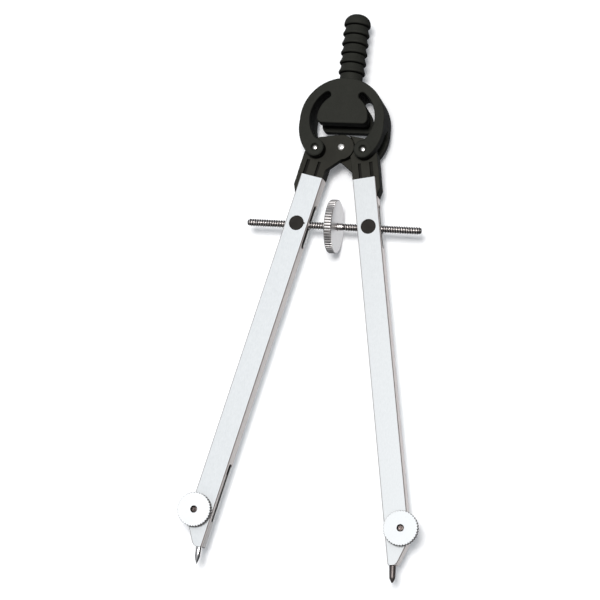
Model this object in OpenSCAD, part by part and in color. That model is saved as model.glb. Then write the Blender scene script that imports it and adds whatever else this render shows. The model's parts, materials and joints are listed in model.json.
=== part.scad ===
// Drawing compass with a ring-shaped moulded head, two channel legs and a
// left/right-hand threaded spindle with a centre thumbwheel.
// Upright frame: +Z runs from the two points to the handle, X across the legs,
// the front of the compass faces -Y. The origin lies midway between the two
// points, in the plane that they stand on. Millimetres and degrees.

/* [Opening] */
// Angle between each leg and the compass axis
rest_angle = 11.6; // [6:0.1:20]

/* [Legs] */
// Distance from the main pivot to the working points, along a leg
point_reach = 131.65; // [120:0.05:145]
// Distance of the leg's centre line from the main pivot's radial line
leg_offset = 6; // [5.8:0.1:7]
// Width of a leg across its front
leg_w = 7; // [6.6:0.1:7.2]
// Depth of a leg from front to back
leg_d = 4.6; // [4.6:0.1:4.8]
// Wall of the folded metal channel
wall = 0.5; // [0.4:0.05:0.6]
// Distance from the main pivot to the channel's upper edge
leg_top = 10.85; // [10.5:0.05:12]
// Distance from the main pivot to the channel's lower edge
leg_end = 126.8; // [124:0.1:128]
// Distance from the main pivot to where the foot starts to taper
taper_start = 120; // [119.5:0.1:121]

/* [Head] */
// Front to back thickness of the moulded head
head_t = 11.3; // [10.6:0.1:12.5]
// Radius of the upper part of the ring
ring_r = 13.1; // [12.9:0.05:13.3]
// Radius of the opening inside the ring
window_r = 10; // [9.6:0.1:10.2]
// Radius of the tongue in the middle of the ring
tongue_r = 7.85; // [7.4:0.05:8]
// Radius of the round end of each spring arm
boss_r = 2.8; // [2.6:0.05:2.9]
// Gap between the front and back plates of each arm
fork_gap = 5.1; // [5.05:0.05:5.4]

/* [Handle] */
// Radius over the ribs of the handle
grip_r = 4.1; // [3.9:0.05:4.4]
// Depth of the valleys between the ribs
grip_valley = 0.5; // [0.3:0.05:0.7]
// Number of ribs, with the domed one at the top
grip_ribs = 6; // [5:1:6]
// Distance between two ribs
grip_pitch = 3.08; // [2.9:0.02:3.1]

/* [Spindle] */
// Distance from the main pivot to the nuts, along a leg
nut_reach = 26.05; // [25.6:0.05:26.5]
// Outside diameter of the threaded spindle
spindle_d = 2.3; // [2:0.1:2.4]
// Length of the spindle
spindle_len = 53.8; // [50:0.2:60]
// Diameter of the round nuts that sit in the legs
nut_d = 4.5; // [4.3:0.1:4.6]
// Diameter of the thumbwheel
wheel_d = 16.2; // [14:0.2:18]
// Thickness of the thumbwheel
wheel_t = 2.4; // [1.6:0.1:2.6]

/* [Clamps and points] */
// Diameter of the clamp knobs
knob_d = 10.2; // [9:0.2:10.4]
// Thickness of the clamp knobs
knob_t = 2.05; // [1.6:0.05:2.4]
// Diameter of the clamp screws
screw_d = 2; // [1.8:0.1:2]
// Diameter of the lead
lead_d = 2; // [1.8:0.05:2]
// Diameter of the needle
needle_d = 1.7; // [1.4:0.1:1.8]

/* [Hidden] */

$fn = 64;
eps = 0.01;
run_gap = 0.05;            // radial clearance of everything that turns or slides

// colours
c_plastic = [0.22, 0.22, 0.20];
c_nut     = [0.17, 0.15, 0.14];
c_leg     = [0.90, 0.91, 0.92];
c_steel   = [0.80, 0.79, 0.77];
c_bright  = [0.93, 0.93, 0.92];
c_spindle = [0.45, 0.43, 0.42];
c_lead    = [0.20, 0.20, 0.21];

// the two working points meet the paper at the origin's height
tip_o = 2.98;
pivot_h = point_reach * cos(rest_angle) - tip_o * sin(rest_angle);

// leg frame: o runs outwards from the pivot's radial line, s runs down the leg
function leg_x(o, s) = o * cos(rest_angle) + s * sin(rest_angle);
function leg_z(o, s) = pivot_h - s * cos(rest_angle) + o * sin(rest_angle);

o_in = leg_offset - leg_w / 2;      // inner face of a leg
o_out = leg_offset + leg_w / 2;     // outer face of a leg

// arm pins: where the spring arms hold the leg brackets
pin_o = 7.02;
pin_s = 2.73;
pin_d = 1.6;
pin_x = leg_x(pin_o, pin_s);
pin_z = leg_z(pin_o, pin_s);
pin_recess = 0.6;
pin_play = 0.6;                     // the ears' holes are this much larger in radius

// head, heights measured from the main pivot
ring_z = pivot_h + 7.84;            // centre of the upper arc
arm_z = pivot_h + 5.84;             // centre of the arms' outer arc
arm_r = 13.15;
window_z = pivot_h + 8.24;          // centre of the opening and of the tongue
tongue_low = pivot_h + 6.54;        // flat lower edge of the tongue
tongue_corner = 1.6;
slot_end_angle = 37;                // where the slots beside the tongue end
fork_full = pivot_h + 3.84;         // the fork is fully open below this height
fork_apex = pivot_h + 6.34;

// handle
grip_top = pivot_h + 43.14;
grip_first = grip_top - 3.4;        // widest point of the top rib
valley_r = grip_r - grip_valley;

// tabs around the main pivot
tab_r = 3.9;
tab_clear = 4.25;
tab_gap = 0.2;
rivet_d = 1.6;

// nuts and spindle
nut_x = leg_x(leg_offset, nut_reach);
spindle_z = leg_z(leg_offset, nut_reach);

// clamps
screw_o = 7.6;
screw_s = 116.9;
lead_lean = 7.5;
needle_lean = 9;
block_top = 104;

// ---------- helpers ----------
// extrude an outline drawn in X and Z to a thickness along Y
module xz(t, y = 0) translate([0, y, 0]) rotate([90, 0, 0]) linear_extrude(height = t, center = true) children();
// the right leg's frame, or its mirror image on the left
module leg(side) {
    if (side > 0) translate([0, 0, pivot_h]) rotate([0, -rest_angle, 0]) children();
    else mirror([1, 0, 0]) translate([0, 0, pivot_h]) rotate([0, -rest_angle, 0]) children();
}
module y_rod(x, z, r, y0, y1) translate([x, y0, z]) rotate([-90, 0, 0]) cylinder(r = r, h = y1 - y0);
// the frame of the needle or the lead: its point at the origin, +Z into the leg
module point_axis(lean) translate([tip_o, 0, -point_reach]) rotate([0, lean, 0]) children();

// ---------- head ----------
module tongue2d() {
    intersection() {
        translate([0, window_z]) circle(r = tongue_r);
        union() {
            translate([-9, tongue_low + tongue_corner]) square([18, 14]);
            translate([-tongue_r + 0.15 + tongue_corner, tongue_low]) square([2 * (tongue_r - 0.15 - tongue_corner), 5]);
            for (s = [-1, 1]) translate([s * (tongue_r - 0.15 - tongue_corner), tongue_low + tongue_corner]) circle(r = tongue_corner);
        }
    }
    polygon([[0, window_z], [14 * sin(slot_end_angle), window_z + 14 * cos(slot_end_angle)],
             [-14 * sin(slot_end_angle), window_z + 14 * cos(slot_end_angle)]]);
}
module window2d() {
    difference() {
        translate([0, window_z]) circle(r = window_r);
        tongue2d();
    }
    slot_mid = (window_r + tongue_r) / 2;
    for (s = [-1, 1]) translate([s * slot_mid * sin(slot_end_angle), window_z + slot_mid * cos(slot_end_angle)]) circle(r = (window_r - tongue_r) / 2);
}
module head2d() {
    k = 3;
    difference() {
        union() {
            translate([0, ring_z]) circle(r = ring_r);
            translate([0, arm_z]) circle(r = arm_r);
        }
        window2d();
        polygon([[0, arm_z], [k * pin_x, arm_z - k * (arm_z - pin_z)], [-k * pin_x, arm_z - k * (arm_z - pin_z)]]);
    }
    for (s = [-1, 1]) translate([s * pin_x, pin_z]) circle(r = boss_r);
}
// one rib of the handle: it flares out downwards and steps in sharply below
function rib(z) = [[valley_r, z + 2.0], [valley_r + 0.06, z + 1.45], [valley_r + 0.2, z + 0.9],
                   [grip_r - 0.08, z + 0.35], [grip_r, z], [grip_r - 0.07, z - 0.32],
                   [grip_r - 0.25, z - 0.55], [valley_r, z - 0.68]];
dome = [for (a = [90 : -9 : 9]) [grip_r * cos(a), grip_first + (grip_top - grip_first) * sin(a)]];
cap_low = [[grip_r, grip_first], [grip_r - 0.07, grip_first - 0.32], [grip_r - 0.25, grip_first - 0.55], [valley_r, grip_first - 0.68]];
ribs = [for (i = [1 : grip_ribs - 1]) for (p = rib(grip_first - i * grip_pitch)) p];
module handle() rotate_extrude() polygon(concat(dome, cap_low, ribs, [[valley_r, ring_z + 10], [0, ring_z + 10]]));

module head_frame() color(c_plastic) difference() {
    union() {
        xz(head_t) head2d();
        handle();
    }
    // the fork between the front and back arm plates, pointed at its top
    rotate([90, 0, 90]) linear_extrude(height = 40, center = true)
        polygon([[-fork_gap / 2, pivot_h - 12], [fork_gap / 2, pivot_h - 12], [fork_gap / 2, fork_full], [0, fork_apex], [-fork_gap / 2, fork_full]]);
    // groove around the tongue, which leaves a front and a back flange
    xz(4.1) difference() {
        translate([-9, tongue_low - 1]) square([18, 7.4]);
        intersection() {
            translate([0, window_z]) circle(r = tongue_r - 0.9);
            translate([-9, tongue_low + 0.9]) square([18, 12]);
        }
        difference() {
            translate([-16, tongue_low - 2]) square([32, 12]);
            translate([0, window_z]) circle(r = tongue_r + 0.5);
        }
    }
    // seats of the arm pins
    for (s = [-1, 1]) {
        y_rod(s * pin_x, pin_z, pin_d / 2, -head_t, head_t);
        y_rod(s * pin_x, pin_z, 1.08, -head_t, -head_t / 2 + pin_recess + 0.15);
        y_rod(s * pin_x, pin_z, 1.08, head_t / 2 - pin_recess - 0.15, head_t);
    }
}
module arm_pin(side) color(c_steel) y_rod(side * pin_x, pin_z, pin_d / 2, -head_t / 2 + pin_recess, head_t / 2 - pin_recess);
module left_arm_pin() arm_pin(-1);
module right_arm_pin() arm_pin(1);

// the rivet that the two leg brackets turn on, with a low domed head at each end
module centre_rivet() color(c_steel) {
    y_rod(0, pivot_h, rivet_d / 2, -leg_d / 2 - 0.3, leg_d / 2 + 0.3);
    for (m = [0, 1]) mirror([0, m, 0]) translate([0, -leg_d / 2 - run_gap, pivot_h]) rotate([90, 0, 0])
        rotate_extrude() polygon(concat([[0, 0], [1.15, 0]], [for (a = [0 : 15 : 90]) [1.15 * cos(a), 0.2 + 0.4 * sin(a)]]));
}

// ---------- leg brackets ----------
// outline of a bracket in the leg frame, drawn as [o, -s]
bracket_pts = [[o_in, -leg_top], [10.7, -leg_top], [10.7, -4.2], [10.35, -2.2], [9.7, -0.7], [8.7, 0.6], [7.6, 1.45], [5.3, 2.25], [3, 3.2], [o_in, 3.3]];
arm_pts = [[0.6, tab_r - 0.1], [5.3, 2.25], [5.3, -8.2], [o_in + 0.4, -8.6], [-1.2, -3.7]];
module bracket(front) {
    ty = front ? -1 : 1;
    difference() {
        union() {
            difference() {
                xz(leg_d) polygon(bracket_pts);
                // room for the other bracket's tab
                y_rod(0, 0, tab_clear, ty < 0 ? -tab_gap / 2 : -leg_d, ty < 0 ? leg_d : tab_gap / 2);
            }
            // half-depth tab that laps over the other bracket's tab
            xz(leg_d / 2 - tab_gap / 2, ty * (leg_d / 4 + tab_gap / 4)) union() { circle(r = tab_r); polygon(arm_pts); }
            // plug inside the channel
            translate([o_in + wall + eps, -leg_d / 2 + wall + eps, -18.4]) cube([leg_w - 2 * (wall + eps), leg_d - 2 * (wall + eps), 18.4 - leg_top + 1]);
            // fin outside the channel, tapered to its end
            xz(leg_d) polygon([[o_out, -leg_top + 1], [10.7, -leg_top + 1], [10.7, -14.6], [o_out, -17]]);
        }
        y_rod(0, 0, rivet_d / 2 + run_gap, -leg_d, leg_d);
        y_rod(pin_o, -pin_s, pin_d / 2 + pin_play, -leg_d, leg_d);
        // grooves in the front and back faces
        for (y = [-leg_d / 2, leg_d / 2]) {
            translate([8.15, y - 0.4, -leg_top - eps]) cube([0.9, 0.8, 4.6]);
            translate([4.75, y - 0.4, -leg_top - eps]) cube([0.75, 0.8, 4.6]);
        }
    }
}
module left_bracket() color(c_plastic) leg(-1) bracket(true);
module right_bracket() color(c_plastic) leg(1) bracket(false);

// ---------- leg channels ----------
foot_low_o = 5.2;
taper_k = (o_out - foot_low_o) / (leg_end - taper_start);
taper_shift = wall * sqrt(1 + taper_k * taper_k);
module channel() difference() {
    xz(leg_d) polygon([[o_in, -leg_top], [o_out, -leg_top], [o_out, -taper_start], [foot_low_o, -leg_end], [o_in, -leg_end]]);
    xz(leg_d - 2 * wall) polygon([[o_in + wall, -leg_top + 2], [o_out - wall, -leg_top + 2],
        [o_out - wall, -taper_start - (wall - taper_shift) / taper_k],
        [foot_low_o - taper_shift - 2 * taper_k, -leg_end - 2], [o_in + wall, -leg_end - 2]]);
    // long holes in both side walls, which the spindle passes through
    for (z = [-5.4, 5.4]) translate([0, 0, -nut_reach + z]) rotate([0, 90, 0]) cylinder(r = 1.45, h = 14);
    translate([0, -1.45, -nut_reach - 5.4]) cube([14, 2.9, 10.8]);
    // seats of the nut in the front and back walls
    y_rod(leg_offset, -nut_reach, nut_d / 2 + run_gap, -leg_d, leg_d);
    // hole for the clamp screw
    y_rod(screw_o, -screw_s, screw_d / 2 + 0.1, -leg_d, leg_d);
    // slit in the inner wall, open at the foot
    translate([o_in - 1, -1.1, -leg_end - 1]) cube([1 + wall + eps, 2.2, leg_end - 101]);
    translate([o_in - 1, 0, -102]) rotate([0, 90, 0]) cylinder(r = 1.1, h = 1 + wall + eps);
}
module left_leg_channel() color(c_leg) leg(-1) channel();
module right_leg_channel() color(c_leg) leg(1) channel();

// ---------- spindle and nuts ----------
module nut(side) color(c_nut) difference() {
    y_rod(side * nut_x, spindle_z, nut_d / 2, -leg_d / 2, leg_d / 2);
    translate([side * nut_x - nut_d, 0, spindle_z]) rotate([0, 90, 0]) cylinder(r = spindle_d / 2 + run_gap, h = 2 * nut_d);
}
module left_nut() nut(-1);
module right_nut() nut(1);
module spindle() color(c_spindle) translate([-spindle_len / 2, 0, spindle_z]) rotate([0, 90, 0])
    rotate_extrude() polygon([[0, 0], [spindle_d / 2 - 0.3, 0], [spindle_d / 2, 0.3], [spindle_d / 2, spindle_len - 0.3], [spindle_d / 2 - 0.3, spindle_len], [0, spindle_len]]);
module thumbwheel() color(c_steel) translate([-wheel_t / 2, 0, spindle_z]) rotate([0, 90, 0])
    rotate_extrude() polygon([[spindle_d / 2 + run_gap, 0], [wheel_d / 2 - 0.25, 0], [wheel_d / 2, 0.25], [wheel_d / 2, wheel_t - 0.25], [wheel_d / 2 - 0.25, wheel_t], [spindle_d / 2 + run_gap, wheel_t]]);

// ---------- clamps ----------
block_gap = 0.03;
module clamp_block(lean, bore_d) difference() {
    xz(leg_d - 2 * (wall + block_gap)) polygon([[o_in + wall + block_gap, -block_top], [o_out - wall - block_gap, -block_top],
        [o_out - wall - block_gap, -taper_start - (wall - taper_shift) / taper_k],
        [foot_low_o - taper_shift - block_gap, -leg_end + 0.2], [o_in + wall + block_gap, -leg_end + 0.2]]);
    point_axis(lean) translate([0, 0, -2]) cylinder(r = bore_d / 2 + run_gap, h = 40);
    y_rod(screw_o, -screw_s, screw_d / 2, -leg_d, leg_d);
}
module left_clamp_block() color(c_steel) leg(-1) clamp_block(needle_lean, needle_d);
module right_clamp_block() color(c_steel) leg(1) clamp_block(lead_lean, lead_d);
knob_back = -leg_d / 2 - 0.1;
knob_front = knob_back - knob_t;
// screw with a slotted head at the back of the leg
module clamp_screw() difference() {
    union() {
        y_rod(screw_o, -screw_s, screw_d / 2, knob_front + 0.6, leg_d / 2 + 0.2);
        y_rod(screw_o, -screw_s, 1.7, leg_d / 2, leg_d / 2 + 0.7);
    }
    translate([screw_o - 2, leg_d / 2 + 0.35, -screw_s - 0.2]) cube([4, 1, 0.4]);
}
module left_clamp_screw() color(c_steel) leg(-1) clamp_screw();
module right_clamp_screw() color(c_steel) leg(1) clamp_screw();
module clamp_knob() translate([screw_o, knob_back, -screw_s]) rotate([90, 0, 0])
    rotate_extrude() polygon([[screw_d / 2 + run_gap, 0], [knob_d / 2 - 0.2, 0], [knob_d / 2, 0.2], [knob_d / 2, knob_t - 0.25], [knob_d / 2 - 0.25, knob_t], [screw_d / 2 + run_gap, knob_t]]);
module left_clamp_knob() color(c_bright) leg(-1) clamp_knob();
module right_clamp_knob() color(c_bright) leg(1) clamp_knob();

// ---------- points ----------
module needle() color(c_bright) leg(-1) point_axis(needle_lean) union() {
    cylinder(r1 = 0.06, r2 = 0.47 * needle_d, h = 2.4);
    translate([0, 0, 2.4]) cylinder(r1 = 0.47 * needle_d, r2 = needle_d / 2, h = 0.9);
    translate([0, 0, 3.3]) cylinder(r = needle_d / 2, h = 20.7);
}
module lead() color(c_lead) leg(1) point_axis(lead_lean) union() {
    cylinder(r1 = 0.15, r2 = lead_d / 2, h = 1.2);
    translate([0, 0, 1.2]) cylinder(r = lead_d / 2, h = 20.8);
}

head_frame();
left_arm_pin();
right_arm_pin();
centre_rivet();
left_bracket();
right_bracket();
left_leg_channel();
right_leg_channel();
left_nut();
right_nut();
spindle();
thumbwheel();
left_clamp_block();
right_clamp_block();
left_clamp_screw();
right_clamp_screw();
left_clamp_knob();
right_clamp_knob();
needle();
lead();
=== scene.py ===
"""Looks for the drawing compass. Meshes are built in millimetres in the frame of the CAD model and scaled to metres."""

import json
import math

import bmesh
import bpy
from mathutils import Matrix, Vector


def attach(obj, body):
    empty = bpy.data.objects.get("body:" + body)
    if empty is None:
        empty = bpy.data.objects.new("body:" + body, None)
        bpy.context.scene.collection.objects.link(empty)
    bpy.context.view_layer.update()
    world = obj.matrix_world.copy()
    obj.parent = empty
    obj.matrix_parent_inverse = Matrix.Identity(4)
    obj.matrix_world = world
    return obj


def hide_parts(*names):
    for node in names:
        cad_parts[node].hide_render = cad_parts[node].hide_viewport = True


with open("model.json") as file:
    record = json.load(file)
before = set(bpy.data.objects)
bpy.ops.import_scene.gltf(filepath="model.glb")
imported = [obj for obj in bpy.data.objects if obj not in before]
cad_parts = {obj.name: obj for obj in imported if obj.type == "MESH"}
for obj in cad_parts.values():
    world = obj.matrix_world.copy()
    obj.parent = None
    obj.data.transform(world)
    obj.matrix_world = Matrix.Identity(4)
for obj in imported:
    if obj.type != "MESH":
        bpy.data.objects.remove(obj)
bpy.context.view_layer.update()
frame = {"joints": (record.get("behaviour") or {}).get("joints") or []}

# ---------------------------------------------------------------- frame
MM = 0.001
JOINT = {j["name"]: j for j in frame["joints"]}
O = JOINT["left_leg_swing"]["pos_m"][2] * 1000.0  # height of the main pivot
NX = JOINT["right_nut_turn"]["pos_m"][0] * 1000.0
NZ = JOINT["right_nut_turn"]["pos_m"][2] * 1000.0
NUT_O, NUT_S = 6.0, 26.05
THETA = math.atan2(NX, O - NZ) - math.atan2(NUT_O, NUT_S)  # each leg's angle to the axis
CT, ST = math.cos(THETA), math.sin(THETA)
LEG_D = 4.6
HF = LEG_D / 2
O_IN, O_OUT, LEG_TOP = 2.5, 9.5, 10.85
cos, sin, pi = math.cos, math.sin, math.pi


def smooth(t):
    t = min(1.0, max(0.0, t))
    return t * t * (3 - 2 * t)


def rad(a):
    return a * pi / 180.0


def leg_pt(o, y, s, side=1):
    """Leg frame to the row frame, in mm: o outwards from the pivot's radial line, s down the leg."""
    return (side * (o * CT + s * ST), y, O - s * CT + o * ST)


# ---------------------------------------------------------------- mesh helpers
def to_object(bm, name):
    me = bpy.data.meshes.new(name)
    bm.normal_update()
    bm.to_mesh(me)
    bm.free()
    ob = bpy.data.objects.new(name, me)
    bpy.context.scene.collection.objects.link(ob)
    return ob


def loft(rings, name="tmp", caps=(True, True), closed_loop=False):
    """Skins closed rings of equal length. closed_loop joins the last ring to the first."""
    bm = bmesh.new()
    vs = [[bm.verts.new(p) for p in ring] for ring in rings]
    n = len(vs[0])
    pairs = list(zip(vs[:-1], vs[1:]))
    if closed_loop:
        pairs.append((vs[-1], vs[0]))
    for a, b in pairs:
        for i in range(n):
            j = (i + 1) % n
            try:
                bm.faces.new((a[i], a[j], b[j], b[i]))
            except ValueError:
                pass
    if not closed_loop:
        if caps[0]:
            bm.faces.new(list(reversed(vs[0])))
        if caps[1]:
            bm.faces.new(vs[-1])
    bmesh.ops.remove_doubles(bm, verts=bm.verts, dist=1e-5)
    bmesh.ops.dissolve_degenerate(bm, dist=1e-6, edges=bm.edges)
    bmesh.ops.recalc_face_normals(bm, faces=bm.faces)
    return to_object(bm, name)


def inset_outline(pts, d):
    """Moves every point of a counter-clockwise outline inwards by d (a number, or one per point)."""
    n = len(pts)
    out = []
    for i in range(n):
        p0, p1, p2 = pts[i - 1], pts[i], pts[(i + 1) % n]
        e1 = (p1[0] - p0[0], p1[1] - p0[1])
        e2 = (p2[0] - p1[0], p2[1] - p1[1])
        l1, l2 = math.hypot(*e1) or 1e-9, math.hypot(*e2) or 1e-9
        n1 = (-e1[1] / l1, e1[0] / l1)
        n2 = (-e2[1] / l2, e2[0] / l2)
        mx, my = n1[0] + n2[0], n1[1] + n2[1]
        k = math.hypot(mx, my)
        if k < 1e-6:
            mx, my, k = n1[0], n1[1], 1.0
        mx, my = mx / k, my / k
        c = max(0.5, mx * n1[0] + my * n1[1])
        di = d[i] if isinstance(d, (list, tuple)) else d
        out.append((p1[0] + mx * di / c, p1[1] + my * di / c))
    return out


def area2(pts):
    return sum(pts[i - 1][0] * pts[i][1] - pts[i][0] * pts[i - 1][1] for i in range(len(pts)))


def arc(cx, cz, r, a0, a1, step=0.3):
    n = max(2, int(abs(rad(a1 - a0)) * r / step))
    return [(cx + r * cos(rad(a0 + (a1 - a0) * i / n)), cz + r * sin(rad(a0 + (a1 - a0) * i / n))) for i in range(n + 1)]


def rounded_poly(pts, radii, step=0.12):
    """A closed polygon with its corners rounded."""
    n = len(pts)
    out = []
    for i in range(n):
        p0, p1, p2 = Vector(pts[i - 1]), Vector(pts[i]), Vector(pts[(i + 1) % n])
        r = radii[i] if isinstance(radii, (list, tuple)) else radii
        a, b = (p0 - p1), (p2 - p1)
        la, lb = a.length, b.length
        a.normalize()
        b.normalize()
        ang = a.angle(b)
        if r <= 0 or ang > pi - 0.02:
            out.append(tuple(p1))
            continue
        t = min(r / math.tan(ang / 2), 0.48 * la, 0.48 * lb)
        rr = t * math.tan(ang / 2)
        c = p1 + (a + b).normalized() * (rr / sin(ang / 2))
        q0, q1 = p1 + a * t, p1 + b * t
        v0, v1 = q0 - c, q1 - c
        tot = v0.angle(v1)
        k = max(3, int(tot * rr / step))
        sgn = 1 if (v0.x * v1.y - v0.y * v1.x) > 0 else -1
        for j in range(k + 1):
            f = sgn * tot * j / k
            out.append((c.x + v0.x * cos(f) - v0.y * sin(f), c.y + v0.x * sin(f) + v0.y * cos(f)))
    return out


def prism(outline, y0, y1, r=0.3, steps=4, name="tmp", place=None, r_back=None):
    """An outline in X and Z, extruded from y0 to y1 with rounded edges."""
    if area2(outline) < 0:
        outline = outline[::-1]
    place = place or (lambda x, y, z: (x, y, z))
    rb = r if r_back is None else r_back
    rings = []
    for k in range(steps + 1):
        a = pi / 2 * k / steps
        rings.append((inset_outline(outline, r * (1 - sin(a))), y0 + r * (1 - cos(a))))
    for k in range(steps + 1):
        a = pi / 2 * (1 - k / steps)
        rings.append((inset_outline(outline, rb * (1 - sin(a))), y1 - rb * (1 - cos(a))))
    if r <= 0:
        rings = [(outline, y0)] + rings[steps + 1:]
    return loft([[place(x, y, z) for x, z in ring] for ring, y in rings], name)


def revolve(profile, segments=64, name="tmp", place=None, closed=False, radial=None):
    """profile: (radius, height) pairs along +Z. radial(angle, index) gives a factor or offset added to the radius."""
    place = place or (lambda x, y, z: (x, y, z))
    rings = []
    for k, (r, h) in enumerate(profile):
        ring = []
        for i in range(segments):
            a = 2 * pi * i / segments
            q = r + (radial(i, k) if radial else 0.0)
            ring.append(place(q * cos(a), q * sin(a), h))
        rings.append(ring)
    return loft(rings, name, closed_loop=closed)


def evaluated(ob):
    dg = bpy.context.evaluated_depsgraph_get()
    me = bpy.data.meshes.new_from_object(ob.evaluated_get(dg), depsgraph=dg)
    ob.modifiers.clear()
    old = ob.data
    ob.data = me
    bpy.data.meshes.remove(old)
    return ob


def boolean(ob, others, op="DIFFERENCE"):
    for c in others:
        m = ob.modifiers.new("bool", "BOOLEAN")
        m.operation, m.object, m.solver = op, c, "EXACT"
        bpy.context.view_layer.update()
        evaluated(ob)
    for c in others:
        me = c.data
        bpy.data.objects.remove(c)
        bpy.data.meshes.remove(me)
    return ob


def cyl_y(x, z, r, y0, y1, seg=48, name="cut"):
    return revolve([(r, y0), (r, y1)], seg, name, place=lambda a, b, h: (x + a, h, z - b))


def box_piece(x0, x1, y0, y1, z0, z1, place=None, name="cut"):
    place = place or (lambda x, y, z: (x, y, z))
    return loft([[place(x0, y, z0), place(x1, y, z0), place(x1, y, z1), place(x0, y, z1)] for y in (y0, y1)], name)


def bevel(ob, width, segments=3, angle=35):
    m = ob.modifiers.new("bevel", "BEVEL")
    m.width, m.segments, m.limit_method, m.angle_limit = width, segments, "ANGLE", rad(angle)
    m.use_clamp_overlap = True
    bpy.context.view_layer.update()
    return evaluated(ob)


def flat_normals(me):
    """Corner normals in which the widest flat beside a rounded edge decides, so that flats shade flat."""
    bm = bmesh.new()
    bm.from_mesh(me)
    bm.faces.ensure_lookup_table()
    group = [-1] * len(bm.faces)
    areas = []
    for f in bm.faces:
        if group[f.index] >= 0:
            continue
        g = len(areas)
        group[f.index] = g
        total, stack = 0.0, [f]
        while stack:
            a = stack.pop()
            total += a.calc_area()
            for e in a.edges:
                if len(e.link_faces) != 2:
                    continue
                for b in e.link_faces:
                    if group[b.index] < 0 and b.normal.dot(f.normal) > 0.99998:
                        group[b.index] = g
                        stack.append(b)
        areas.append(total)
    normals = [None] * sum(len(f.verts) for f in bm.faces)
    for v in bm.verts:
        faces = set(v.link_faces)
        while faces:
            first = faces.pop()
            fan, stack = [first], [first]
            while stack:
                a = stack.pop()
                for e in a.edges:
                    if v in e.verts and e.smooth and len(e.link_faces) == 2:
                        for b in e.link_faces:
                            if b in faces:
                                faces.remove(b)
                                fan.append(b)
                                stack.append(b)
            n = Vector((0, 0, 0))
            for f in fan:
                n += f.normal * (areas[group[f.index]] ** 1.5)
            n.normalize()
            for f in fan:
                for lp in f.loops:
                    if lp.vert is v:
                        normals[lp.index] = n.copy()
    bm.free()
    me.normals_split_custom_set([tuple(n) if n is not None else (0, 0, 1) for n in normals])


def finish_piece(ob, name, body, material, replaces=(), sharp=32, weighted=True, mirror=False):
    """Cleans a mesh in mm, scales it to metres, gives it its material and lets it ride on its body."""
    me = ob.data
    bm = bmesh.new()
    bm.from_mesh(me)
    bmesh.ops.remove_doubles(bm, verts=bm.verts, dist=2e-5)
    bmesh.ops.dissolve_degenerate(bm, dist=1e-5, edges=bm.edges)
    if mirror:
        for v in bm.verts:
            v.co.x = -v.co.x
    loose = [v for v in bm.verts if not v.link_faces]
    bmesh.ops.delete(bm, geom=loose, context="VERTS")
    open_edges = [e for e in bm.edges if len(e.link_faces) == 1]
    if open_edges:
        # a boolean can drop a sliver of a side face
        bmesh.ops.holes_fill(bm, edges=open_edges, sides=8)
    bmesh.ops.recalc_face_normals(bm, faces=bm.faces)
    big = [f for f in bm.faces if len(f.verts) > 4]
    if big:
        bmesh.ops.triangulate(bm, faces=big, ngon_method="BEAUTY")
    for v in bm.verts:
        v.co *= MM
    for f in bm.faces:
        f.smooth = True
        f.material_index = 0
    bm.to_mesh(me)
    bm.free()
    me.materials.clear()
    me.materials.append(material)
    me.set_sharp_from_angle(angle=rad(sharp))
    ob.name = name
    me.name = name
    if weighted:
        flat_normals(me)
    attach(ob, body)
    if replaces:
        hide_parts(*([replaces] if isinstance(replaces, str) else replaces))
    return ob


# ---------------------------------------------------------------- materials
def material(name):
    m = bpy.data.materials.new(name)
    m.use_nodes = True
    nt = m.node_tree
    bsdf = nt.nodes["Principled BSDF"]
    return m, nt, bsdf


def node(nt, kind, **values):
    n = nt.nodes.new(kind)
    for k, v in values.items():
        if k in n.inputs:
            n.inputs[k].default_value = v
        else:
            setattr(n, k, v)
    return n


def coords(nt, scale=(1, 1, 1), rotation=(0, 0, 0)):
    tc = node(nt, "ShaderNodeTexCoord")
    mp = node(nt, "ShaderNodeMapping")
    mp.inputs["Scale"].default_value = scale
    mp.inputs["Rotation"].default_value = rotation
    nt.links.new(tc.outputs["Object"], mp.inputs["Vector"])
    return mp.outputs["Vector"]


def noise(nt, vec, scale, detail=3.0, rough=0.55):
    n = node(nt, "ShaderNodeTexNoise")
    n.inputs["Scale"].default_value = scale
    n.inputs["Detail"].default_value = detail
    n.inputs["Roughness"].default_value = rough
    nt.links.new(vec, n.inputs["Vector"])
    return n.outputs["Fac"]


def ramp(nt, fac, stops):
    r = node(nt, "ShaderNodeValToRGB")
    el = r.color_ramp.elements
    while len(el) < len(stops):
        el.new(0.5)
    for e, (p, c) in zip(el, stops):
        e.position = p
        e.color = (*c, 1) if len(c) == 3 else c
    nt.links.new(fac, r.inputs["Fac"])
    return r.outputs["Color"]


def grey(v):
    return (v, v, v)


def maprange(nt, fac, a, b, c, d):
    n = node(nt, "ShaderNodeMapRange")
    n.inputs["From Min"].default_value = a
    n.inputs["From Max"].default_value = b
    n.inputs["To Min"].default_value = c
    n.inputs["To Max"].default_value = d
    nt.links.new(fac, n.inputs["Value"])
    return n.outputs["Result"]


def bump(nt, bsdf, layers):
    """layers: (height output, strength, distance in metres), chained into the shader's normal."""
    prev = None
    for height, strength, dist in layers:
        b = node(nt, "ShaderNodeBump")
        b.inputs["Strength"].default_value = strength
        b.inputs["Distance"].default_value = dist
        nt.links.new(height, b.inputs["Height"])
        if prev:
            nt.links.new(prev, b.inputs["Normal"])
        prev = b.outputs["Normal"]
    nt.links.new(prev, bsdf.inputs["Normal"])


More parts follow.
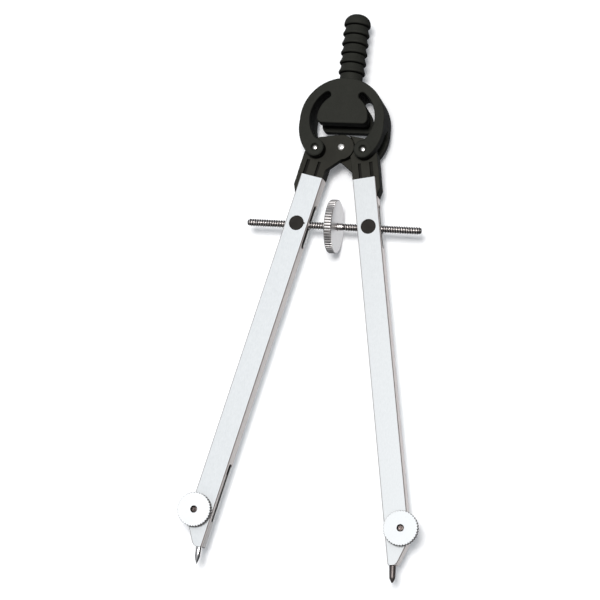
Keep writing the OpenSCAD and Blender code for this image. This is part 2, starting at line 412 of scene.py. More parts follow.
def axis_radius(nt, axis, c0, c1):
    """Distance in metres from a line along X or Y; c0 and c1 are the other two coordinates."""
    tc = node(nt, "ShaderNodeTexCoord")
    sep = node(nt, "ShaderNodeSeparateXYZ")
    nt.links.new(tc.outputs["Object"], sep.inputs[0])
    squares = []
    for out, c in zip([o for o in ("X", "Y", "Z") if o != axis], (c0, c1)):
        d = node(nt, "ShaderNodeMath", operation="SUBTRACT")
        nt.links.new(sep.outputs[out], d.inputs[0])
        d.inputs[1].default_value = c
        q = node(nt, "ShaderNodeMath", operation="MULTIPLY")
        nt.links.new(d.outputs[0], q.inputs[0])
        nt.links.new(d.outputs[0], q.inputs[1])
        squares.append(q.outputs[0])
    add = node(nt, "ShaderNodeMath", operation="ADD")
    nt.links.new(squares[0], add.inputs[0])
    nt.links.new(squares[1], add.inputs[1])
    root = node(nt, "ShaderNodeMath", operation="SQRT")
    nt.links.new(add.outputs[0], root.inputs[0])
    return root.outputs[0]


def mixed(nt, fac, a, b, blend="MIX"):
    mx = node(nt, "ShaderNodeMix", data_type="RGBA", blend_type=blend)
    for sock, v in ((mx.inputs[0], fac), (mx.inputs[6], a), (mx.inputs[7], b)):
        if isinstance(v, (int, float)):
            sock.default_value = v
        elif isinstance(v, tuple):
            sock.default_value = (*v, 1)
        else:
            nt.links.new(v, sock)
    return mx.outputs[2]


def facing(nt, lo=0.72, hi=0.95, axis="Y"):
    """1 on faces that look along the axis, 0 on the sides."""
    tc = node(nt, "ShaderNodeTexCoord")
    sep = node(nt, "ShaderNodeSeparateXYZ")
    nt.links.new(tc.outputs["Normal"], sep.inputs[0])
    ab = node(nt, "ShaderNodeMath", operation="ABSOLUTE")
    nt.links.new(sep.outputs[axis], ab.inputs[0])
    return maprange(nt, ab.outputs[0], lo, hi, 0.0, 1.0)


def plastic(name, dark, light, rough=(0.52, 0.66), grain=5200, spec=0.5, tilt=0.0, bump_dist=4e-6, wall=0.35, painted_shade_floors=None):
    """Matt moulded plastic: a fine eroded texture, faint flow variation and rubbed patches. Faces off the Y direction
    are darkened by the wall factor as painted shade, and the floors of grooves between the given depths in Y get
    painted shade.
    """
    m, nt, b = material(name)
    v = coords(nt, rotation=(0, tilt, 0))
    fine = noise(nt, v, grain, 2.0, 0.6)
    mid = noise(nt, v, 420, 4.0, 0.55)
    broad = noise(nt, coords(nt, (60, 60, 25), (0, tilt, 0)), 1.4, 3.0, 0.6)
    base = ramp(nt, broad, [(0.3, dark), (0.7, light)])
    speck = ramp(nt, fine, [(0.35, grey(0.86)), (0.62, grey(1.12))])
    mx = node(nt, "ShaderNodeMix", data_type="RGBA", blend_type="MULTIPLY")
    mx.inputs[0].default_value = 1.0
    nt.links.new(base, mx.inputs[6])
    nt.links.new(speck, mx.inputs[7])
    front = facing(nt, 0.12, 0.7)
    # painted shade: faces off the Y direction take the wall factor
    color = mixed(nt, front, mixed(nt, 1.0, mx.outputs[2], (wall, wall, wall), "MULTIPLY"), mx.outputs[2])
    # painted shade on the groove floors between the given depths in Y
    if painted_shade_floors:
        tc = node(nt, "ShaderNodeTexCoord")
        sep = node(nt, "ShaderNodeSeparateXYZ")
        nt.links.new(tc.outputs["Object"], sep.inputs[0])
        ab = node(nt, "ShaderNodeMath", operation="ABSOLUTE")
        nt.links.new(sep.outputs["Y"], ab.inputs[0])
        cmpn = node(nt, "ShaderNodeMath", operation="COMPARE")
        nt.links.new(ab.outputs[0], cmpn.inputs[0])
        cmpn.inputs[1].default_value = (painted_shade_floors[0] + painted_shade_floors[1]) / 2 * MM
        cmpn.inputs[2].default_value = (painted_shade_floors[1] - painted_shade_floors[0]) / 2 * MM
        color = mixed(nt, cmpn.outputs[0], color, mixed(nt, 1.0, color, (0.12, 0.12, 0.12), "MULTIPLY"))
    nt.links.new(color, b.inputs["Base Color"])
    wallr = node(nt, "ShaderNodeMath", operation="SUBTRACT")
    wallr.inputs[0].default_value = 1.0
    nt.links.new(front, wallr.inputs[1])
    rsum = node(nt, "ShaderNodeMath", operation="MULTIPLY_ADD")
    nt.links.new(wallr.outputs[0], rsum.inputs[0])
    rsum.inputs[1].default_value = 0.22
    nt.links.new(maprange(nt, mid, 0.3, 0.7, *rough), rsum.inputs[2])
    nt.links.new(rsum.outputs[0], b.inputs["Roughness"])
    b.inputs["Specular IOR Level"].default_value = spec
    b.inputs["Specular Tint"].default_value = (1.0, 0.985, 0.87, 1)
    bump(nt, b, [(fine, 0.55, bump_dist), (mid, 0.25, 1.2e-5)])
    return m


def metal(name, c0, c1, rough=(0.25, 0.35), grain_scale=(1, 1, 1), grain=900, tilt=0.0, bump_dist=2e-6, bump_strength=0.4,
          metallic=1.0, blotch=180, side=None, edge=None, edge2=None, inside=None, painted_groove_shade=None, painted_groove_shade_color=(0.05, 0.042, 0.04)):
    """Metal with fine directional grain, faint blotches and varying roughness. side: colour of faces off the Y
    direction, painted light: a reflection of the backdrop on the legs, shade on the knobs' rims. edge and edge2 paint a
    dark line on the bevels between.
    The groove mask returns how much of the bright surface shows, 0 in the grooves, where it paints shade; the inside
    mask paints shade inside the leg's channel."""
    m, nt, b = material(name)
    g = noise(nt, coords(nt, grain_scale, (0, tilt, 0)), grain, 4.0, 0.6)
    bl = noise(nt, coords(nt, (1, 1, 1), (0, tilt, 0)), blotch, 3.0, 0.55)
    mixf = node(nt, "ShaderNodeMath", operation="MULTIPLY_ADD")
    mixf.inputs[1].default_value = 0.6
    mixf.inputs[2].default_value = 0.0
    nt.links.new(g, mixf.inputs[0])
    add = node(nt, "ShaderNodeMath", operation="MULTIPLY_ADD")
    add.inputs[1].default_value = 0.4
    nt.links.new(bl, add.inputs[0])
    nt.links.new(mixf.outputs[0], add.inputs[2])
    fac = add.outputs[0]
    color = ramp(nt, fac, [(0.35, c0), (0.65, c1)])
    if side:
        # painted reflection and shade: faces off the Y direction get their own colour
        sides = ramp(nt, fac, [(0.35, side), (0.65, tuple(min(1, v * 1.12) for v in side))])
        # painted dark line on the bevels between front and side, lighter on bevels that face left
        if edge:
            tc = node(nt, "ShaderNodeTexCoord")
            sep = node(nt, "ShaderNodeSeparateXYZ")
            nt.links.new(tc.outputs["Normal"], sep.inputs[0])
            rim = mixed(nt, maprange(nt, sep.outputs["X"], -0.25, 0.25, 0.0, 1.0), edge2 or edge, edge)
            sides = mixed(nt, facing(nt, 0.1, 0.4), sides, rim)
        color = mixed(nt, facing(nt, 0.8, 0.97) if edge else facing(nt), sides, color)
    # painted shade inside the leg's channel
    if inside:
        color = mixed(nt, inside(nt), color, (0.07, 0.06, 0.056))
    # painted shade in the grooves: the mask darkens towards the groove colour
    if painted_groove_shade:
        color = mixed(nt, painted_groove_shade(nt), painted_groove_shade_color, color)
    nt.links.new(color, b.inputs["Base Color"])
    nt.links.new(maprange(nt, fac, 0.35, 0.65, *rough), b.inputs["Roughness"])
    b.inputs["Metallic"].default_value = metallic
    bump(nt, b, [(g, bump_strength, bump_dist)])
    return m


def leg_inside(side):
    """1 inside the leg's channel above the foot, where little light gets in."""

    def build(nt):
        tc = node(nt, "ShaderNodeTexCoord")
        out = []
        for vec, off, lo, hi in (((side * CT, 0, ST), -O * ST, O_IN + 0.3, O_OUT - 0.3), ((0, 1, 0), 0.0, -HF + 0.3, HF - 0.3), ((side * ST, 0, -CT), O * CT, 8.0, 118.6)):
            d = node(nt, "ShaderNodeVectorMath", operation="DOT_PRODUCT")
            nt.links.new(tc.outputs["Object"], d.inputs[0])
            d.inputs[1].default_value = vec
            c = node(nt, "ShaderNodeMath", operation="COMPARE")
            nt.links.new(d.outputs["Value"], c.inputs[0])
            c.inputs[1].default_value = ((lo + hi) / 2 - off) * MM
            c.inputs[2].default_value = (hi - lo) / 2 * MM
            out.append(c.outputs[0])
        a = node(nt, "ShaderNodeMath", operation="MULTIPLY")
        nt.links.new(out[0], a.inputs[0])
        nt.links.new(out[1], a.inputs[1])
        b = node(nt, "ShaderNodeMath", operation="MULTIPLY")
        nt.links.new(a.outputs[0], b.inputs[0])
        nt.links.new(out[2], b.inputs[1])
        return b.outputs[0]

    return build


# Painted shade: darker where the radius from the axis is small, in a thread's grooves.
def painted_thread_shade(axis, c0, c1, r0, r1, floor=0.0):
    return lambda nt: maprange(nt, axis_radius(nt, axis, c0 * MM, c1 * MM), r0 * MM, r1 * MM, floor, 1.0)


def painted_knurl_shade(axis, c0, c1, r0, r1, floor=0.0):
    """Painted shade on the side wall where its radius is small: the bottoms of the knurl."""

    def build(nt):
        out = maprange(nt, axis_radius(nt, axis, c0 * MM, c1 * MM), r0 * MM, r1 * MM, floor, 1.0)
        mx = node(nt, "ShaderNodeMath", operation="MAXIMUM")
        nt.links.new(out, mx.inputs[0])
        nt.links.new(facing(nt, 0.45, 0.75, axis), mx.inputs[1])
        return mx.outputs[0]

    return build


# the wall values and the brackets' groove floors are painted shade
M_HEAD = plastic("black_plastic_head", (0.0165, 0.0172, 0.0145), (0.0225, 0.023, 0.0195), rough=(0.6, 0.7), spec=0.14, wall=0.12)
M_BRACKET = {-1: plastic("black_plastic_left", (0.018, 0.0176, 0.0145), (0.026, 0.0252, 0.0205), rough=(0.56, 0.68), spec=0.16, wall=0.12, tilt=THETA, painted_shade_floors=(1.6, 2.12)),
             1: plastic("black_plastic_right", (0.018, 0.0176, 0.0145), (0.026, 0.0252, 0.0205), rough=(0.56, 0.68), spec=0.16, wall=0.12, tilt=-THETA, painted_shade_floors=(1.6, 2.12))}
M_NUT = plastic("nut_plastic", (0.011, 0.009, 0.0085), (0.019, 0.0155, 0.0145), rough=(0.6, 0.75), grain=5200, spec=0.25, bump_dist=1.2e-5)
# Both legs are one satin metal: the right copy's darker front is painted shade against a brighter reflection, its
# different side and bevel colours painted light too.
M_LEG = {s: metal("satin_leg_" + ("left" if s < 0 else "right"), *(((0.605, 0.628, 0.638), (0.68, 0.701, 0.711)) if s < 0 else ((0.58, 0.6, 0.607), (0.652, 0.671, 0.678))), rough=(0.5, 0.6), metallic=0.22,
                  grain_scale=(3, 3, 1), grain=1100, tilt=-s * THETA, bump_dist=1.5e-6, bump_strength=0.5, blotch=700,
                  side=(0.6, 0.555, 0.535) if s < 0 else (0.66, 0.61, 0.588), edge=(0.22, 0.187, 0.175), edge2=(0.3, 0.27, 0.26) if s < 0 else (0.5, 0.47, 0.46), inside=leg_inside(s))
         for s in (-1, 1)}
# the spindle's thread grooves get painted shade
M_SPINDLE = metal("spindle_steel", (0.66, 0.62, 0.60), (0.82, 0.78, 0.755), rough=(0.24, 0.36), grain=1800, bump_dist=3e-6, blotch=300,
                  painted_groove_shade=painted_thread_shade("X", 0, NZ, 0.88, 1.08, 0.14))
# the wheel's knurl grooves get painted shade
M_WHEEL = metal("wheel_metal", (0.57, 0.545, 0.535), (0.67, 0.645, 0.63), rough=(0.33, 0.45), grain=2400, bump_dist=2.5e-6, blotch=500,
                painted_groove_shade=painted_knurl_shade("X", 0, NZ, 7.8, 7.98, 0.3))
KX, KS = 7.6, 116.9
# Both knobs are one metal: the right one's darker colours are painted shade, the dark side colour paints shade on the
# knurled rim and its grooves get painted shade.
M_KNOB = {}
for s_ in (-1, 1):
    kx_, _, kz_ = leg_pt(KX, 0, KS, s_)
    M_KNOB[s_] = metal("knob_metal_" + ("left" if s_ < 0 else "right"), *(((0.72, 0.735, 0.742), (0.8, 0.812, 0.816)) if s_ < 0 else ((0.55, 0.566, 0.574), (0.61, 0.627, 0.634))), rough=(0.46, 0.55), grain=2600, metallic=0.35, side=(0.11, 0.094, 0.088),
                       bump_dist=2e-6, blotch=350, painted_groove_shade=painted_knurl_shade("Y", kx_, kz_, 4.84, 5.0))
M_PIN = metal("pin_steel", (0.80, 0.76, 0.71), (0.90, 0.87, 0.83), rough=(0.24, 0.34), grain=2600, bump_dist=2e-6, blotch=600)
M_SCREW = metal("screw_steel", (0.075, 0.06, 0.056), (0.16, 0.132, 0.124), rough=(0.22, 0.34), grain=2600, bump_dist=3e-6, blotch=500)
M_BLOCK = metal("block_metal", (0.42, 0.39, 0.375), (0.55, 0.52, 0.50), rough=(0.35, 0.5), grain=1800, bump_dist=4e-6)
M_NEEDLE = metal("needle_steel", (0.66, 0.635, 0.62), (0.80, 0.775, 0.76), rough=(0.10, 0.18), grain_scale=(1, 1, 6), grain=1500, bump_dist=1.5e-6)


def graphite():
    m, nt, b = material("graphite")
    v = coords(nt, (1, 1, 1), (0, rad(-4), 0))
    f = noise(nt, v, 7000, 3.0, 0.7)
    s = noise(nt, coords(nt, (8, 8, 0.6), (0, rad(-4), 0)), 900, 2.0, 0.5)
    nt.links.new(ramp(nt, f, [(0.35, (0.085, 0.072, 0.068)), (0.7, (0.19, 0.163, 0.155))]), b.inputs["Base Color"])
    nt.links.new(maprange(nt, s, 0.3, 0.7, 0.4, 0.52), b.inputs["Roughness"])
    b.inputs["Metallic"].default_value = 0.85
    bump(nt, b, [(f, 0.4, 4e-6), (s, 0.3, 3e-6)])
    return m


M_LEAD = graphite()

# ---------------------------------------------------------------- head
RING_C, RING_R = 7.84, 13.1
ARM_C, ARM_R = 5.84, 13.15
WIN_C, WIN_R, TNG_R = 8.24, 10.0, 7.85
TNG_LOW, TNG_CORNER = 6.54, 1.6
PIN_X, PIN_Z, BOSS_R = 7.4257, -1.2622, 2.8
HEAD_T = 11.3
HT = HEAD_T / 2


def head_outline():
    """Right half from the top of the ring to the middle of the tongue's lower edge, then its mirror. Heights from the pivot."""
    pts, tongue = [], []

    def put(seq, flag=False):
        for p in seq:
            if not pts or math.hypot(p[0] - pts[-1][0], p[1] - pts[-1][1]) > 0.03:
                pts.append(p)
                tongue.append(flag)

    zi = 7.168
    a1 = math.degrees(math.asin((zi - RING_C) / RING_R))
    a2 = math.degrees(math.asin((zi - ARM_C) / ARM_R))
    put(arc(0, RING_C, RING_R, 90, a1, 0.35))
    ray = math.degrees(math.atan2(PIN_Z - ARM_C, PIN_X))
    put(arc(0, ARM_C, ARM_R, a2, ray + 3.2, 0.35))
    put(arc(PIN_X, PIN_Z, BOSS_R, ray - 4, -270, 0.22))
    aw = math.degrees(math.atan2(PIN_Z + BOSS_R - WIN_C, PIN_X))
    put(arc(0, WIN_C, WIN_R, aw, 53, 0.3))
    rs, rm = (WIN_R - TNG_R) / 2, (WIN_R + TNG_R) / 2
    put(arc(rm * cos(rad(53)), WIN_C + rm * sin(rad(53)), rs, 53, 233, 0.16))
    cx = math.sqrt((TNG_R - TNG_CORNER) ** 2 - (TNG_LOW + TNG_CORNER - WIN_C) ** 2)
    cz = TNG_LOW + TNG_CORNER
    at = math.degrees(math.atan2(cz - WIN_C, cx))
    put(arc(0, WIN_C, TNG_R, 53, at, 0.3), True)
    put(arc(cx, cz, TNG_CORNER, at, -90, 0.16), True)
    for i in range(1, 9):
        put([(cx * (1 - i / 8.0), TNG_LOW)], True)
    pts[-1] = (0.0, TNG_LOW)
    left = [(-x, z) for x, z in pts[1:-1]][::-1]
    flags = tongue + tongue[1:-1][::-1]
    return pts + left, flags


def make_head():
    pts, flags = head_outline()
    if area2(pts) < 0:
        pts, flags = pts[::-1], flags[::-1]
    groove = []
    for (x, z), f in zip(pts, flags):
        k = min(1.0, max(0.0, (12.9 - z) / 0.6)) if f else 0.0
        groove.append(0.9 * k * k * (3 - 2 * k))
    rr = 0.42
    rings = []
    for k in range(6):
        a = pi / 2 * k / 5
        rings.append((rr * (1 - sin(a)), -HT + rr * (1 - cos(a)), 0.0))
    gw = 2.05
    rings += [(0.0, -gw - 0.12, 0.0), (0.04, -gw - 0.03, 0.0), (0.12, -gw, 0.0), (0.0, -gw, 1.0), (0.0, 0.0, 1.0), (0.0, gw, 1.0), (0.12, gw, 0.0),
              (0.04, gw + 0.03, 0.0), (0.0, gw + 0.12, 0.0)]
    rb = 1.3
    for k in range(7, -1, -1):
        a = pi / 2 * k / 7
        rings.append((rb * (1 - sin(a)), HT - rb * (1 - cos(a)), 0.0))
    made = []
    for off, y, g in rings:
        if g:
            d = list(groove)
        else:
            only = 0.04 <= off <= 0.12 and abs(y) < 2.2
            d = [(off if (not only or f) else 0.0) for f in flags]
        # the back plate's tongue reaches a little lower
        low = [0.62 * smooth((8.6 - p[1]) / 1.9) if f and y > gw else 0.0 for f, p in zip(flags, pts)]
        made.append([(x, y, z - k + O) for (x, z), k in zip(inset_outline(pts, d), low)])
    head = loft(made, "head")
    # handle: beads with a sharp undercut, each flaring out of a narrower neck
    top, gr, vr, pitch = 43.1, 4.1, 3.45, 3.08
    first = top - 3.4
    prof = []
    for a in range(0, 91, 6):
        # a slightly flattened dome
        t = rad(a)
        prof.append((gr * math.pow(sin(t), 0.86) if a else 0.0, first + 3.4 * math.pow(max(0.0, cos(t)), 0.9)))
    slot = [(vr + 0.02, -0.5), (2.75, -0.5), (2.7, -0.56), (2.7, -0.72), (2.75, -0.78), (vr - 0.04, -0.79), (vr + 0.03, -0.86)]
    prof += [(gr - 0.01, first - 0.1), (gr - 0.05, first - 0.24), (gr - 0.16, first - 0.38), (gr - 0.34, first - 0.47)] + [(r, first + d) for r, d in slot]
    for i in range(1, 6):
        z = first - i * pitch
        prof += [(vr + 0.05, z + 1.85), (vr + 0.11, z + 1.5), (vr + 0.21, z + 1.15), (vr + 0.34, z + 0.8), (vr + 0.48, z + 0.48), (gr - 0.06, z + 0.24),
                 (gr - 0.01, z + 0.08), (gr, z - 0.04), (gr - 0.03, z - 0.17), (gr - 0.1, z - 0.3), (gr - 0.22, z - 0.41), (gr - 0.4, z - 0.48)] + [(r, z + d) for r, d in slot]
    z = first - 5 * pitch
    prof += [(vr + 0.05, z - 1.6), (vr + 0.05, RING_C + 11.0)]
    grip = revolve(prof[::-1], 96, "grip", place=lambda x, y, h: (x, y, h + O))
    head = boolean(head, [grip], "UNION")
    # the fork between the arm plates, pointed at its top
    prof = rounded_poly([(-2.55, -12.0), (2.55, -12.0), (2.55, 3.84), (0, 6.34), (-2.55, 3.84)], [0, 0, 0.5, 0.4, 0.5])
    cut = loft([[(x, y, z + O) for y, z in prof] for x in (-20, 20)], "fork")
    cuts = [cut]
    for s in (-1, 1):
        for f in (-1, 1):
            # pin recess, with a small lead-in
            seat = revolve([(1.28, -0.5), (1.24, 0.0), (1.1, 0.14), (1.08, 0.8)], 48, "seat",
                           place=lambda x, y, h, s=s, f=f: (s * PIN_X + x, f * (HT - h), O + PIN_Z + y))
            cuts.append(seat)
        cuts.append(cyl_y(s * PIN_X, O + PIN_Z, 0.83, -HT - 1, HT + 1, 40))
    head = boolean(head, cuts)
    # raised rims round the arm pins
    rims = []
    for s in (-1, 1):
        for f in (-1, 1):
            r = revolve([(1.3, 0.3), (1.3, 0.02), (1.42, 0.0), (2.3, 0.0), (2.42, 0.03), (2.5, 0.12), (2.52, 0.3)], 56, "rim", closed=True,
                        place=lambda x, y, h, s=s, f=f: (s * PIN_X + x, f * (HT + 0.09 - h), O + PIN_Z + y))
            rims.append(r)
    head = boolean(head, rims, "UNION")
    return finish_piece(head, "head", "head", M_HEAD, "head_frame", sharp=38)


make_head()


def pin_piece(name, x, z, r, y0, y1, body, node_name, dome=0.22, head_r=None, head_h=0.0, head_y=0.0):
    """A turned pin along Y with domed ends, or with low domed heads."""
    prof = []
    if head_r:
        shank = [(0.0, y0), (r, y0), (r, y1), (0.0, y1)]
        for k in range(8):
            a = pi / 2 * k / 7
            prof.append((head_r * math.pow(sin(a), 0.9), -(head_y + head_h * math.pow(max(0, cos(a)), 1.0))))
        prof += [(head_r, -head_y + 0.04), (head_r - 0.06, -head_y + 0.1), (r, -head_y + 0.1)]
        prof += [(a, -b) for a, b in prof[::-1]]
    else:
        n = 6
        for k in range(n + 1):
            a = pi / 2 * k / n
            prof.append((r * sin(a), y0 + dome * (1 - cos(a))))
        for k in range(n, -1, -1):
            a = pi / 2 * k / n
            prof.append((r * sin(a), y1 - dome * (1 - cos(a))))
    ob = revolve(prof, 40, name, place=lambda a, b, h: (x + a, h, z - b))
    return finish_piece(ob, name, body, M_PIN, node_name, sharp=50)


pin_piece("arm_pin_left", -PIN_X, O + PIN_Z, 0.8, -HT + 0.45, HT - 0.45, "head", "left_arm_pin", dome=0.3)
pin_piece("arm_pin_right", PIN_X, O + PIN_Z, 0.8, -HT + 0.45, HT - 0.45, "head", "right_arm_pin", dome=0.3)
pin_piece("rivet", 0, O, 0.78, -2.4, 2.4, "pivot", "centre_rivet", head_r=1.15, head_h=0.46, head_y=HF + 0.02)

# ---------------------------------------------------------------- leg brackets


def bracket(side, front):
    P = lambda o, y, z: leg_pt(o, y, -z, side)
    ty = -1 if front else 1
    body = prism(rounded_poly([(O_IN, -LEG_TOP), (10.7, -LEG_TOP), (10.7, -4.2), (10.35, -2.2), (9.7, -0.7), (8.7, 0.6), (7.6, 1.45), (5.3, 2.25), (3, 3.2), (O_IN, 3.3)],
                              [0, 0, 0.8, 1.5, 1.5, 1.5, 1.5, 1, 0.3, 0]), -HF, HF, 0.22, 4, "bracket", P)
    # room for the other bracket's tab
    room = revolve([(4.25, -0.1 if ty < 0 else -4.0), (4.25, 4.0 if ty < 0 else 0.1)], 72, "room", place=lambda a, b, h: (a, h, O - b))
    body = boolean(body, [room])
    circle = [(3.9 * cos(rad(a)), 3.9 * sin(rad(a))) for a in range(84, 253, 4)]
    tab_pts = [(5.3, 2.3), (0.9, 3.83)] + circle + [(2.9, -8.6), (5.3, -8.2)]
    y0, y1 = (-HF, -0.1) if ty < 0 else (0.1, HF)
    tab = prism(rounded_poly(tab_pts, [0] * (len(tab_pts) - 2) + [0.6, 0.0]), y0, y1, 0.22, 4, "tab", P)
    fin = prism(rounded_poly([(9.4, -LEG_TOP + 1.2), (10.7, -LEG_TOP + 1.2), (10.7, -14.6), (9.54, -17), (9.4, -16.9)], [0, 0, 0.5, 0, 0]), -HF + 0.1, HF - 0.1, 0.25, 4, "fin", P)
    plug = box_piece(O_IN + 0.52, O_OUT - 0.52, -HF + 0.52, HF - 0.52, -18.4, -LEG_TOP + 1, P, "plug")
    body = boolean(body, [tab, fin, plug], "UNION")
    cuts = [cyl_y(side * 0, O, 0.85, -5, 5, 40)]
    px, _, pz = leg_pt(7.02, 0, 2.73, side)
    cuts.append(cyl_y(px, pz, 1.4, -5, 5, 40))
    # moulded grooves in the front and back faces
    for f in (-1, 1):
        for a, b in ((8.05, 9.1), (4.6, 5.5)):
            yy = lambda d: f * (HF - d)
            sec = [(a, yy(-0.3)), (b, yy(-0.3)), (b, yy(0.0)), (b - 0.12, yy(0.62)), (a + 0.12, yy(0.62)), (a, yy(0.0))]
            cuts.append(loft([[P(o, y, z) for o, y in sec] for z in (-LEG_TOP - 0.3, -6.1)], "groove"))
    body = boolean(body, cuts)
    n = "bracket_" + ("left" if side < 0 else "right")
    return finish_piece(body, n, "left_leg" if side < 0 else "right_leg", M_BRACKET[side], ("left_bracket" if side < 0 else "right_bracket"), sharp=38)


bracket(-1, True)
bracket(1, False)

# ---------------------------------------------------------------- leg channels
WALL = 0.5
TAPER, END, FOOT_O = 120.0, 126.8, 5.2


def rounded_rect(o0, o1, y0, y1, r, n=5):
    out = []
    for cx, cy, a0 in ((o1 - r, y1 - r, 0), (o0 + r, y1 - r, 90), (o0 + r, y0 + r, 180), (o1 - r, y0 + r, 270)):
        for k in range(n + 1):
            a = rad(a0 + 90 * k / n)
            out.append((cx + r * cos(a), cy + r * sin(a)))
    return out


def outer_o(s):
    """Outer face of the leg at s, with a small radius where the foot starts to taper."""
    k = (O_OUT - FOOT_O) / (END - TAPER)
    w = 0.7
    if s <= TAPER - w:
        return O_OUT
    if s >= TAPER + w:
        return O_OUT - k * (s - TAPER)
    t = (s - TAPER + w) / (2 * w)
    return O_OUT - k * w * t * t


def channel(side):
    P = lambda o, y, s: leg_pt(o, y, s, side)
    levels = [LEG_TOP + 0.0, LEG_TOP + 0.05] + [30, 60, 90, 110, TAPER - 0.7, TAPER - 0.35, TAPER, TAPER + 0.35, TAPER + 0.7, 123.5, END - 1.0, END - 0.5, END - 0.2, END]
    end_in = {END - 0.5: 0.05, END - 0.2: 0.22, END: 0.5}
    outer, inner = [], []
    for s in levels:
        e = end_in.get(s, 0.0)
        outer.append([P(o, y, s) for o, y in rounded_rect(O_IN + e * 0.5, outer_o(s) - e, -HF, HF, 0.42)])
        inner.append([P(o, y, s) for o, y in rounded_rect(O_IN + WALL, max(O_IN + WALL + 0.9, outer_o(s) - WALL - (0.1 if s > TAPER else 0) - e), -HF + WALL, HF - WALL, 0.12)])
    ch = loft(outer + inner[::-1], "channel", closed_loop=True)
    cuts = []
    # long holes in both side walls, which the spindle passes through
    slot = rounded_poly([(-1.45, NUT_S - 6.85), (1.45, NUT_S - 6.85), (1.45, NUT_S + 6.85), (-1.45, NUT_S + 6.85)], 1.44, 0.2)
    cuts.append(loft([[P(o, y, s) for y, s in slot] for o in (-1, 13)], "slot"))
    nx, _, nz = P(NUT_O, 0, NUT_S)
    cuts.append(cyl_y(nx, nz, 2.3, -5, 5, 64))
    kx, _, kz = P(7.6, 0, 116.9)
    cuts.append(cyl_y(kx, kz, 1.1, -5, 5, 40))
    slit = rounded_poly([(-1.1, 100.9), (1.72, 100.9), (1.72, 130), (-1.1, 130)], [1.2, 1.2, 0, 0], 0.2)
    cuts.append(loft([[P(o, y, s) for y, s in slot2] for o, slot2 in ((0, slit), (O_IN + WALL + 0.02, slit))], "slit"))
    ch = boolean(ch, cuts)
    n = "leg_" + ("left" if side < 0 else "right")
    return finish_piece(ch, n, "left_leg" if side < 0 else "right_leg", M_LEG[side], ("left_leg_channel" if side < 0 else "right_leg_channel"), sharp=40)


channel(-1)
channel(1)

# ---------------------------------------------------------------- nuts
SPZ = NZ


def nut(side):
    prof = []
    for k in range(5):
        a = pi / 2 * k / 4
        prof.append((2.25 - 0.16 * (1 - sin(a)), -HF + 0.13 * (1 - cos(a))))
    prof = [(0.0, -HF - 0.0), (1.2, -HF - 0.0)] + prof
    prof += [(a, -b) for a, b in prof[::-1]]
    ob = revolve(prof, 72, "nut", place=lambda a, b, h: (side * NX + a, h, NZ - b))
    cuts = [revolve([(1.2, -4), (1.2, 4)], 40, "bore", place=lambda a, b, h: (side * NX + h, a, NZ + b))]
    ob = boolean(ob, cuts)
    if side < 0:
        nib = prism(rounded_poly([(-NX + 1.9, NZ - 0.55), (-NX + 2.72, NZ - 0.08), (-NX + 2.72, NZ + 0.1), (-NX + 1.9, NZ + 0.55)], [0.05, 0.08, 0.08, 0.05], 0.05),
                    -HF - 0.07, -HF + 0.3, 0.03, 2, "nib")
        # it lies on the leg's face, so only its inner end reaches into the nut
        ob = boolean(ob, [nib], "UNION")
        trim = loft([[(-NX + 2.27, y, NZ + z) for y, z in ((-HF + 0.0, -1.5), (-HF + 0.0, 1.5), (-HF + 2, 1.5), (-HF + 2, -1.5))],
                     [(-NX + 4.27, y, NZ + z) for y, z in ((-HF + 0.0, -1.5), (-HF + 0.0, 1.5), (-HF + 2, 1.5), (-HF + 2, -1.5))]], "trim")
        ob = boolean(ob, [trim])
    n = "nut_" + ("left" if side < 0 else "right")
    return finish_piece(ob, n, "left_nut_body" if side < 0 else "right_nut_body", M_NUT, ("left_nut" if side < 0 else "right_nut"), sharp=35)


nut(-1)
nut(1)

# ---------------------------------------------------------------- spindle
PITCH, SEG, SAMPLES = 0.75, 28, 8
CREST, ROOT, SHANK = 1.15, 0.86, 1.04
SP_HALF = 26.9
THREAD = [0.0, 0.10, 0.50, 0.90, 1.0, 0.90, 0.50, 0.10]


